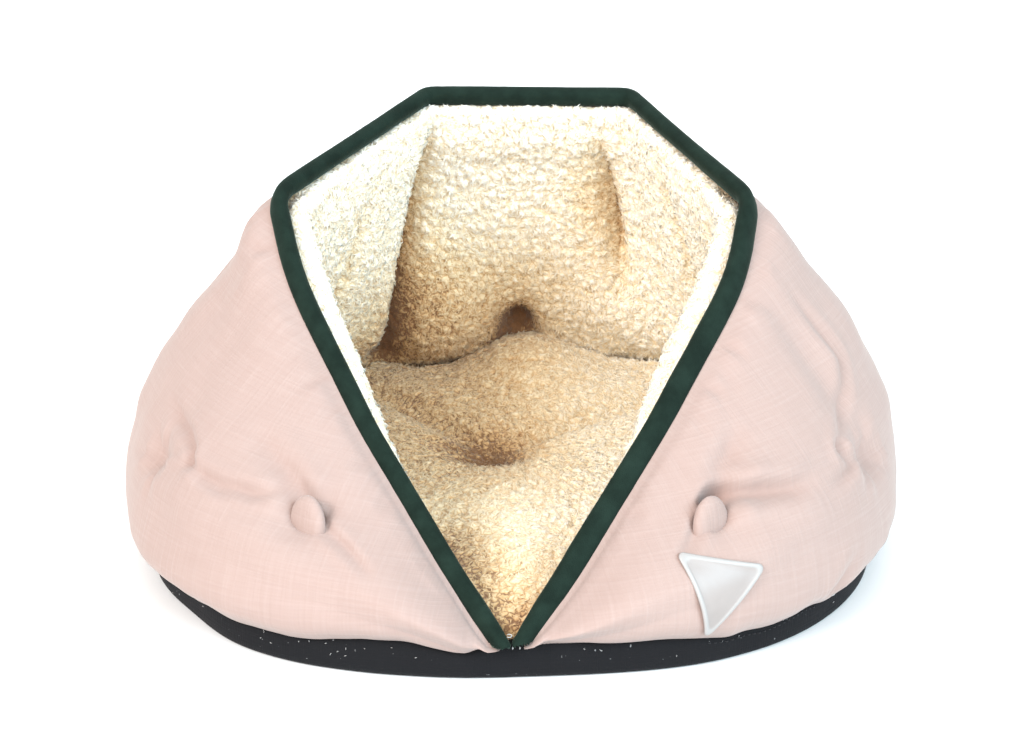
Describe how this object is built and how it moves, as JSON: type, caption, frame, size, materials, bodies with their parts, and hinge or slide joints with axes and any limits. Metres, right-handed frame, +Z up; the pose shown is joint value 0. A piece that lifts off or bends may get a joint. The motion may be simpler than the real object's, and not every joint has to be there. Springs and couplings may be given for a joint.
{
  "type": "padded pet cave",
  "caption": "Round padded pet cave with a button-tufted wall that leans in over a V-shaped mouth, fleece inside, a velvet-bound rim and a flat dark base.",
  "frame": {"origin": "middle of the flat base, on the surface that the cave stands on", "axes": "+Z up, -Y out of the mouth, +X to the right of someone who looks in"},
  "size_m": [0.4974, 0.4852, 0.2701],
  "materials": {
    "outer_cloth": "pale pink linen-look plain weave with slubs, matt",
    "lining_fleece": "cream curly long-pile fleece",
    "floor_fleece": "cream curly long-pile fleece, warmer in the creases",
    "binding_velvet": "bottle green velvet bias strip, soft sheen",
    "base_cloth": "black plain weave with lint and a sewn seam",
    "button_cloth": "pale pink linen-look cloth drawn over a button",
    "tag_rubber": "soft translucent off-white moulded rubber, blank face, raised rim"
  },
  "bodies": {
    "root": {"base": "base_cloth", "wall": "outer_cloth", "lining": "lining_fleece", "binding": "binding_velvet", "cushion": "floor_fleece", "button_left": "button_cloth", "button_right": "button_cloth", "tag": "tag_rubber"}
  },
  "joints": []
}
